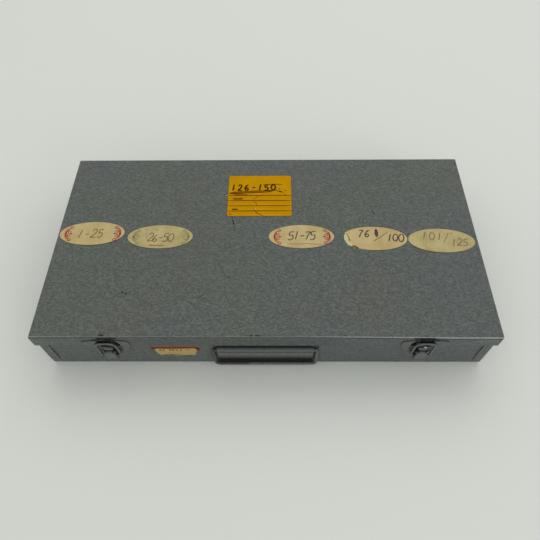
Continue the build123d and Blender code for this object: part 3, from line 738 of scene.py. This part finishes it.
def make_oval_scrolls():
    """The scrolls on the first three ovals."""
    red_print = ink("red_print", (146, 38, 34), (172, 82, 66))
    dark_red = ink("dark_red_print", (126, 16, 22), (146, 30, 30))
    faded_print = ink("faded_print", (118, 118, 72), (156, 150, 102))
    prints = {1: (red_print, dark_red), 2: (faded_print, faded_print), 3: (red_print, dark_red)}
    for number, (line, solid) in prints.items():
        dice = random.Random(SCROLL_SEED + number)
        plane = top_plane(f"label_oval_{number}")
        lines, solids = bmesh.new(), bmesh.new()
        for end in (-1, 1):
            scroll(lines, solids, plane, end, dice)
        finish_mesh(lines, f"oval_{number}_scrolls", line, "lid")
        finish_mesh(solids, f"oval_{number}_scroll_dots", solid, "lid")


def make_ovals():
    pencil = ink("pencil", (104, 86, 60), (136, 116, 80), 0.6, 0.1)
    brown_ink = ink("brown_ink", (74, 56, 48), (98, 78, 62))
    purple_ink = ink("purple_ink", (70, 40, 48), (112, 80, 70))
    faint_ink = ink("faint_ink", (120, 92, 84), (142, 116, 92))
    make_oval_figures((pencil, pencil, brown_ink, purple_ink, faint_ink))
    make_oval_scrolls()

    # The second, third and fifth ovals: creases and a dash.
    oval_2, oval_3, oval_4, oval_5 = ((f"label_oval_{n}", "lid", "cream_paper") for n in (2, 3, 4, 5))
    crease = ink("paper_crease", (146, 130, 84), (170, 154, 106))
    draw("oval_2_crease", crease, *oval_2, [([(-13.2, 8.7), (-12.6, 2.4), (-11.4, -3.8)], 0.7)])
    dash = ink("dash_ink", (116, 94, 58), (140, 116, 76))
    draw("oval_2_dash", dash, *oval_2, [([(-9.0, -9.4), (-3.0, -9.9), (4.6, -9.9)], 1.1)], seed=3)
    dark_crease = ink("crease_3", (118, 92, 54), (150, 126, 78))
    fold = [(-12.1, -8.3), (-2.0, -8.5), (4.5, -8.1), (9.0, -8.7), (19.0, -8.9)]
    draw("oval_3_crease", dark_crease, *oval_3, [(fold, 0.6)], seed=4)
    draw("oval_5_crease", crease, *oval_5, [([(-12.1, 10.6), (-13.6, 1.0), (-15.6, -10.5)], 0.6)])

    # The fourth oval: a slash, a filled-in figure, and a torn end with a raised pale flap and old glue.
    draw("oval_4_slash", brown_ink, *oval_4, [([(-2.6, -3.3), (4.0, 1.4), (11.3, 7.0)], 0.6)])
    blot = [
        (0.7, 1.0), (2.0, 2.4), (2.7, 6.2), (2.1, 9.6), (1.0, 11.2), (-0.2, 9.2), (-0.8, 5.6), (-0.2, 2.4),
    ]
    draw("oval_4_blot", ink("blot", (62, 34, 52), (96, 66, 74)), *oval_4, patches=[blot])
    flap = [
        (-28.6, 2.8), (-27.0, 5.6), (-26.0, 4.8), (-25.2, 0.2), (-24.2, -3.6),
        (-21.2, -6.6), (-22.6, -8.6), (-25.8, -6.8), (-28.4, -1.6),
    ]
    draw("oval_4_flap", ink("torn_flap", (196, 184, 130), (216, 205, 152), 0.75), *oval_4, patches=[flap])
    draw("oval_4_glue", ink("old_glue", (86, 58, 22), (122, 88, 34)), *oval_4, [
        ([(-21.8, -8.4), (-19.4, -9.0), (-16.6, -10.9)], 1.7),
        ([(-26.0, 5.0), (-24.6, 2.0), (-23.2, -2.6)], 0.6),
    ])
    draw("oval_5_slash", faint_ink, *oval_5, [
        ([(1.6, -2.0), (4.6, 3.0), (7.4, 8.4)], 0.7),
        ([(8.6, 7.6), (10.6, 7.8)], 0.8),
    ], seed=6)


# The card's printed rules, marker writing, smudges and cracks, in mm from the card's middle.

CARD_RULES = (-0.3, -6.7, -13.2, -19.5)
CARD_RULE_RISE = 0.1
FAINT_RULE_DROP = 2.6
CARD_TILT = 0.6
CARD_LEAN = 0.04
CARD_STEP = 0.84
CARD_SEED = 12


def make_card():
    rule = ink("rule_print", (104, 56, 2), (134, 78, 2), 0.6, 0.05)
    marker = ink("marker_ink", (50, 30, 4), (88, 56, 6), 0.6, 0.05)
    smudge = ink("smudge", (118, 78, 2), (154, 104, 2), 0.7, 0.05)
    faint_rule = ink("faint_rule", (176, 122, 0), (190, 134, 0), 0.7, 0.05)
    crack = ink("card_crack", (108, 62, 2), (140, 88, 4), 0.6, 0.05)
    pale = ink("card_pale", (214, 178, 60), (226, 196, 96))
    low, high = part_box("label_card")
    half = (high.x - low.x) / 2 / MM
    card = ("label_card", "lid", "yellow_paper")

    def rules(drop, width):
        rows = []
        for y in (rule_y - drop for rule_y in CARD_RULES):
            rows.append(([(-half, y), (0, y + CARD_RULE_RISE), (half, y + CARD_RULE_RISE)], width))
        return rows

    draw("card_rules", rule, *card, rules(0, 1.1), seed=11)
    draw("card_faint_rules", faint_rule, *card, rules(FAINT_RULE_DROP, 0.7), seed=18)
    dice = random.Random(CARD_SEED)
    words = bmesh.new()
    plane = top_plane("label_card", CARD_TILT)
    start = (-27.4 * MM, 6.4 * MM)
    write(words, plane, "126-150", start, 7.6 * MM, 1.6 * MM, dice, CARD_LEAN, CARD_STEP)
    finish_mesh(words, "card_figures", marker, "lid")
    draw("card_underline", marker, *card, [
        ([(-29.6, 2.2), (-20.0, 2.7), (-6.0, 3.2), (4.6, 4.0)], 0.6),
        ([(-29.4, 3.2), (-14.0, 5.0), (2.0, 6.0), (10.0, 6.3)], 0.4),
        ([(17.6, 8.6), (20.0, 7.6)], 0.9),
        ([(18.0, 4.8), (21.6, 3.6)], 0.9),
        ([(24.0, 7.2), (24.6, 5.4)], 0.9),
    ], seed=13)
    draw("card_smudges", smudge, *card, [
        ([(-28.6, 2.5), (-12.0, 4.0), (12.0, 5.2)], 3.0),
        ([(-24.0, 0.9), (-18.0, 1.2), (-12.0, 1.1)], 1.3),
        ([(8.0, 5.2), (14.0, 6.2), (22.0, 4.2)], 1.4),
        ([(3.0, 13.4), (12.0, 14.2), (22.0, 13.8)], 1.3),
    ], seed=14)
    draw("card_printed_bars", marker, *card, [
        ([(-25.6, -4.4), (-21.0, -4.6), (-16.0, -4.4)], 1.5),
        ([(-26.0, -17.4), (-20.0, -17.4)], 1.5),
    ], seed=15)
    draw("card_cracks", crack, *card, [
        ([(-0.6, 0.8), (-3.6, -3.2), (-6.6, -6.0), (-3.2, -9.6), (-2.6, -12.6)], 0.5),
        ([(-5.8, -16.2), (-3.4, -19.8), (-2.2, -22.0), (3.6, -25.2)], 0.7),
        ([(-28.0, -21.4), (-26.6, -24.6)], 0.8),
        ([(22.0, 3.8), (24.8, 0.2)], 0.4),
    ], seed=16)
    draw("card_bare_spots", pale, *card, [
        ([(-5.6, -15.4), (-2.4, -19.2)], 0.7),
        ([(-1.4, 0.9), (0.2, 1.3)], 0.8),
        ([(-31.8, -0.2), (-30.2, -0.4)], 0.9),
    ], seed=17)


# The torn front label's band of colour, whose left and right ends hang down, and its short marks, in mm.

BAND = (
    (-20.9, 8.4), (-2.0, 7.9), (20.4, 8.6), (20.9, 5.2), (17.6, 4.8),
    (15.6, 5.6), (-4.0, 4.6), (-17.0, 5.0), (-19.6, 5.4),
)
BAND_RIGHT_END = ((20.8, 5.6), (20.8, 1.8), (19.4, 1.4), (18.2, 3.6), (16.6, 5.4))
BAND_LEFT_END = ((-19.6, 5.6), (-18.6, 3.6), (-16.9, 3.4), (-16.4, 5.4))
MARK_STARTS = (-13.6, -10.8, -5.2, -2.6, 0.6, 3.8)
MARK_LENGTH = 1.7
MARK_WIDTH = 2.5


def make_front_label():
    middle = middle_of("label_front")
    plane = front_plane(middle.x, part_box("label_front")[0].y, middle.z)
    label = ("label_front", "tray", "torn_paper")
    orange = ink("orange_print", (122, 24, 8), (146, 42, 14), 0.6, 0.08)
    band = [BAND, BAND_RIGHT_END, BAND_LEFT_END]
    draw("front_label_band", orange, *label, patches=band, plane=plane)
    marks = [([(x, 2.5), (x + MARK_LENGTH, 2.0)], MARK_WIDTH) for x in MARK_STARTS]
    marks.append(([(9.0, 2.4), (12.4, 2.2)], 1.0))
    dark = ink("old_print", (76, 48, 14), (110, 78, 30))
    draw("front_label_marks", dark, *label, marks, seed=5, plane=plane)
    red = ink("red_strip", (150, 62, 56), (172, 96, 84))
    strip = [([(-12.6, -6.5), (-4.0, -6.9), (3.6, -6.4)], 1.8)]
    draw("front_label_strip", red, *label, strip, seed=7, plane=plane)


# Scratches in the lid's enamel, as points and a width, and chips, as a place and a size. All in mm.

LID_SCRATCHES = (
    ([(-31.9, 24.9), (-31.0, 21.0), (-30.2, 17.8), (-29.4, 13.6), (-28.4, 7.6)], 0.5),
    ([(-30.9, 20.4), (-30.2, 17.6), (-29.6, 15.0)], 1.2),
    ([(97.9, 32.0), (99.4, 29.4), (100.8, 26.2)], 0.85),
    ([(-56.8, -61.9), (-52.9, -60.2), (-50.0, -56.6)], 0.5),
    ([(174.1, 83.1), (177.6, 82.2), (180.8, 83.0)], 0.6),
    ([(184.0, 92.9), (186.0, 91.6), (186.7, 89.6)], 0.6),
    ([(-133.4, -50.4), (-133.0, -54.0)], 0.35),
)
LID_CHIPS = (
    (-119.9, -56.8, 1.3), (-116.9, -58.1, 1.2), (-114.3, -57.0, 0.7), (-51.5, 66.1, 0.9),
    (-66.3, 39.5, 0.9), (-121.1, 69.7, 0.6), (-130.1, 80.8, 0.6), (-22.3, -24.2, 0.6),
    (-33.7, -41.0, 0.6), (-31.0, -42.2, 0.5), (14.0, -48.0, 0.6), (100.1, -30.0, 0.7),
)
CHIP_RADIUS = 0.75
CHIP_START_STEP = 20
CHIP_TURN = 310
CHIP_POINTS = 7
CHIP_GROWTH = 0.3

# Chips and rust along a line just behind the lid's front edge. Rows of chips: place, length and width in mm.

EDGE_LINE_BACK = 2.2 * MM
EDGE_CHIPS = ((-14.6, 2.0, 0.6), (-10.9, 2.6, 1.3), (-5.8, 4.2, 1.3), (-130.4, 4.4, 1.2), (64.0, 1.6, 0.5))
EDGE_RUST = (([(-132.0, 0.9), (-130.0, 0.7), (-128.4, 0.8)], 0.9), ([(129.0, 0.9), (131.6, 0.7)], 0.7))


def make_lid_marks():
    lid = ("lid", "lid", "hammertone_paint")
    dark = ink("bare_dark_metal", (34, 31, 30), (52, 48, 46), 0.55)
    rusty = ink("rusty_chip", (66, 46, 30), (116, 92, 64), 0.6)
    top = Matrix.Translation((0, 0, LID_HIGH.z))
    patches = [
        ring(x, y, size * CHIP_RADIUS, CHIP_START_STEP * i, CHIP_TURN, CHIP_POINTS, CHIP_GROWTH)
        for i, (x, y, size) in enumerate(LID_CHIPS)
    ]
    draw("lid_scratches", dark, *lid, LID_SCRATCHES, patches, 9, top)
    edge = Matrix.Translation((0, LID_LOW.y + EDGE_LINE_BACK, LID_HIGH.z))
    strokes = [
        ([(x - long / 2, 0.1), (x, -0.2), (x + long / 2, 0.1)], wide)
        for x, long, wide in EDGE_CHIPS
    ]
    draw("lid_edge_chips", dark, *lid, strokes, seed=10, plane=edge)
    draw("lid_edge_rust", rusty, *lid, EDGE_RUST, seed=12, plane=edge)


# The thin dark line on the lid round each label, a painted shadow of its edge, in mm: its width, and how far
# short of a corner it stops.

CARD_LINE_WIDTH = 0.8
CARD_LINE_SHORT = 2.2
OVAL_LINE_WIDTH = 1.1
OVAL_LINE_STEPS = 36


def make_label_lines():
    lid = ("lid", "lid", "hammertone_paint")
    # A painted shadow: a thin dark line round each label's edge.
    rim_shadow_ink = ink("label_edge_shadow", (52, 54, 50), (74, 77, 72), 0.5)
    low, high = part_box("label_card")
    corners = [(low.x, low.y), (high.x, low.y), (high.x, high.y), (low.x, high.y), (low.x, low.y)]
    sides = []
    for start, end in zip(corners, corners[1:]):
        a, b = Vector(start) / MM, Vector(end) / MM
        short = (b - a).normalized() * CARD_LINE_SHORT
        sides.append(([tuple(a + short), tuple((a + b) / 2), tuple(b - short)], CARD_LINE_WIDTH))
    draw("card_edge_shadow", rim_shadow_ink, *lid, sides, seed=41, plane=Matrix.Translation((0, 0, LID_HIGH.z)))
    for number in range(1, 6):
        low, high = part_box(f"label_oval_{number}")
        middle = (low + high) / 2
        plane = Matrix.Translation((middle.x, middle.y, LID_HIGH.z))
        half = (high - low) / 2 / MM
        turns = [2 * math.pi * i / OVAL_LINE_STEPS for i in range(OVAL_LINE_STEPS)]
        outline = [(half.x * math.cos(a), half.y * math.sin(a)) for a in turns]
        outline.append(outline[0])
        draw(f"oval_{number}_dirt", rim_shadow_ink, *lid, [(outline, OVAL_LINE_WIDTH)], seed=number, plane=plane)


# The curl round a lever's pin, from the face over the top, as angles from straight out.

CURL_OUTER = 2.6 * MM
CURL_INNER = 2.0 * MM
CURL_HALF = 2.5 * MM
CURL_START = 25
CURL_END = 120
CURL_POINTS = 9


def make_lever_curls():
    """The top of each lever's face curls over its pin."""
    outline = (
        (-CURL_HALF, CURL_OUTER), (CURL_HALF, CURL_OUTER), (CURL_HALF, CURL_INNER), (-CURL_HALF, CURL_INNER),
    )
    for side, _ in SIDES:
        axis = middle_of(f"latch_{side}_lever_pin")
        mesh = bmesh.new()
        rings = []
        for i in range(CURL_POINTS):
            angle = math.radians(CURL_START + (CURL_END - CURL_START) * i / (CURL_POINTS - 1))
            out, up = math.cos(angle), math.sin(angle)
            ends = [axis + Vector((x, -out * reach, up * reach)) for x, reach in outline]
            rings.append([mesh.verts.new(end) for end in ends])
        for first, second in zip(rings, rings[1:]):
            for k in range(4):
                mesh.faces.new((first[k], first[(k + 1) % 4], second[(k + 1) % 4], second[k]))
        mesh.faces.new(rings[0])
        mesh.faces.new(rings[-1][::-1])
        enamel = NODES[f"latch_{side}_lever"].material_slots[0].material
        finish_mesh(mesh, f"{side}_lever_curl", enamel, f"{side}_lever")


# Marks on the strikes: a painted shadow beside the loop, rust on a foot, and a bare chip on the tip of a
# nose, painted near white as its glint. Their points and widths are in mm.

STRIKE_SHEET = 0.8 * MM
LOOP_SHADOW_POINTS = ((6.4, 48.5), (8.6, 47.2), (10.1, 44.5), (10.7, 41.2))
LOOP_SHADOW_WIDTH = 2.5
FOOT_RUST = ([(-1.6, 41.5), (2.0, 41.8), (5.6, 41.4)], 1.9)
NOSE_TIP_BACK = 0.8 * MM
NOSE_TIP_MIDDLE = 46.6 * MM
NOSE_TILT = math.radians(12.1)
NOSE_GLINT_CHIP = ((-2.1, -0.5), (-0.7, -0.6), (-0.5, 0.3), (-1.4, 0.6), (-2.1, 0.4))


def make_latch_marks():
    red = ink("latch_rust", (64, 8, 10), (84, 20, 18), 0.7, 0.1)
    loop_shadow_ink = ink("latch_grime", (8, 8, 10), (20, 20, 22), 0.7, 0.05)
    bright = ink("nose_glint_ink", (214, 216, 214), (240, 240, 238), 0.3, 0.5)
    face = LID_LOW.y - STRIKE_SHEET
    strikes = {side: (f"latch_{side}_strike", "lid", "fittings_paint") for side, _ in SIDES}
    planes = {side: front_plane(middle_of(f"latch_{side}_strike").x, face, 0) for side, _ in SIDES}
    # A painted shadow beside each loop, on its strike's face.
    for side, inwards in SIDES:
        strokes = [([(inwards * x, y) for x, y in LOOP_SHADOW_POINTS], LOOP_SHADOW_WIDTH)]
        draw(f"{side}_strike_loop_shadow", loop_shadow_ink, *strikes[side], strokes, seed=33, plane=planes[side])
    draw("left_latch_rust", red, *strikes["left"], [FOOT_RUST], seed=32, plane=planes["left"])
    # A painted glint: a bare chip on the right nose's tip, near white.
    tip_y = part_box("latch_right_strike")[0].y + NOSE_TIP_BACK
    tip = Vector((middle_of("latch_right_strike").x, tip_y, NOSE_TIP_MIDDLE))
    tilted = Matrix.Translation(tip) @ Matrix.Rotation(-NOSE_TILT, 4, "X")
    draw("right_nose_glint", bright, *strikes["right"], patches=[NOSE_GLINT_CHIP], seed=34, plane=tilted)


# The table, the sky, and the studio lights. Rows: name, place, width, height, power and tint.

FLOOR_REACH = 6.0
FLOOR_PATCH = 0.4
FLOOR_TONES = ((226, 229, 222), (230, 232, 226))
SKY_COLOUR = (0.985, 1.0, 0.975, 1)
SKY_STRENGTH = 0.66
LIGHTS = (
    ("back_light", (0.2, 1.9, 2.3), 3.2, 2.2, 16, (1, 1, 1)),
    ("right_light", (2.4, 0.2, 1.8), 2.6, 2.2, 6.4, (1, 1, 1)),
    ("front_light", (1.6, -2.1, 1.1), 0.9, 0.9, 8.0, (0.86, 0.9, 1.0)),
)


def make_floor():
    low, high = -FLOOR_REACH, FLOOR_REACH
    data = bpy.data.meshes.new("floor")
    data.from_pydata([(low, low, 0), (high, low, 0), (high, high, 0), (low, high, 0)], [], [(0, 1, 2, 3)])
    floor = bpy.data.objects.new("floor", data)
    board = Finish("table", roughness=0.6, specular_ior_level=0.3)
    tones = (colour(*tone) for tone in FLOOR_TONES)
    board.feed("Base Color", board.mix(board.noise(FLOOR_PATCH, 2.0), *tones))
    floor.data.materials.append(board.material)
    bpy.context.scene.collection.objects.link(floor)


def softbox(name, place, width, height, power, tint):
    """A rectangular studio light that points at the object's middle."""
    light = bpy.data.lights.new(name, "AREA")
    light.shape = "RECTANGLE"
    light.size = width
    light.size_y = height
    light.energy = power
    light.color = tint
    lamp = bpy.data.objects.new(name, light)
    lamp.location = place
    lamp.rotation_euler = (-Vector(place)).to_track_quat("-Z", "Y").to_euler()
    bpy.context.scene.collection.objects.link(lamp)


def make_lights():
    world = bpy.data.worlds.new("studio")
    world.use_nodes = True
    sky = world.node_tree.nodes["Background"]
    sky.inputs["Color"].default_value = SKY_COLOUR
    sky.inputs["Strength"].default_value = SKY_STRENGTH
    bpy.context.scene.world = world
    for row in LIGHTS:
        softbox(*row)
    bpy.context.scene.view_settings.view_transform = "Standard"


# The tones of each paper: pale, dark and edge.

CREAM = ((202, 182, 132), (184, 162, 108), (150, 112, 60))
OLIVE = ((196, 180, 130), (168, 154, 104), (138, 112, 60))
AMBER = ((202, 150, 0), (193, 138, 0), (158, 104, 4))
TORN = ((190, 172, 112), (168, 150, 96), (120, 96, 56))
OVAL_TONES = (CREAM, OLIVE, CREAM, CREAM, OLIVE)


def dress_nodes():
    # The tray's enamel has a painted blue tint of light, and the lid's has light and shade painted on its
    # front edge.
    dress(hammertone("hammertone_enamel", blue=TRAY_LIGHT_TINT), "tray")
    dress(hammertone("lid_enamel", shade=shade_front_edge), "lid")
    # The fittings' enamel has painted shade in its recesses.
    fittings = nodes_with("leaf", "plate", "lever", "loop", "rivets")
    dress(fittings_enamel("fittings_enamel"), *fittings)
    bail = fittings_enamel("bail_enamel", rust=BAIL_RUST_TONES, more_rust=rustier_left)
    dress(bail, "handle_bail")
    for side, _ in SIDES:
        dress(fittings_enamel(f"{side}_strike_enamel", shade=strike_shade(side)), f"latch_{side}_strike")
    # The bracket gets painted light in its recesses and painted shade down from its top.
    dress(fittings_enamel("bracket_enamel", deep=BRACKET_RECESS_LIGHT, shade=shade_bracket), "handle_bracket")
    dress(pin_steel(), *nodes_with("_pin"))
    dress(rack_paint(), *nodes_with("rack_"))
    for number, tones in enumerate(OVAL_TONES, 1):
        dress(old_paper(f"label_oval_{number}_paper", *tones), f"label_oval_{number}")
    dress(old_paper("card_paper", *AMBER, stain=0.25, fibre=0.1, gloss=0.03), "label_card")
    dress(old_paper("torn_label_paper", *TORN), "label_front")


make_camera()
make_floor()
make_lights()
dress_nodes()
make_ovals()
make_card()
make_front_label()
make_lid_marks()
make_label_lines()
make_lever_curls()
make_latch_marks()
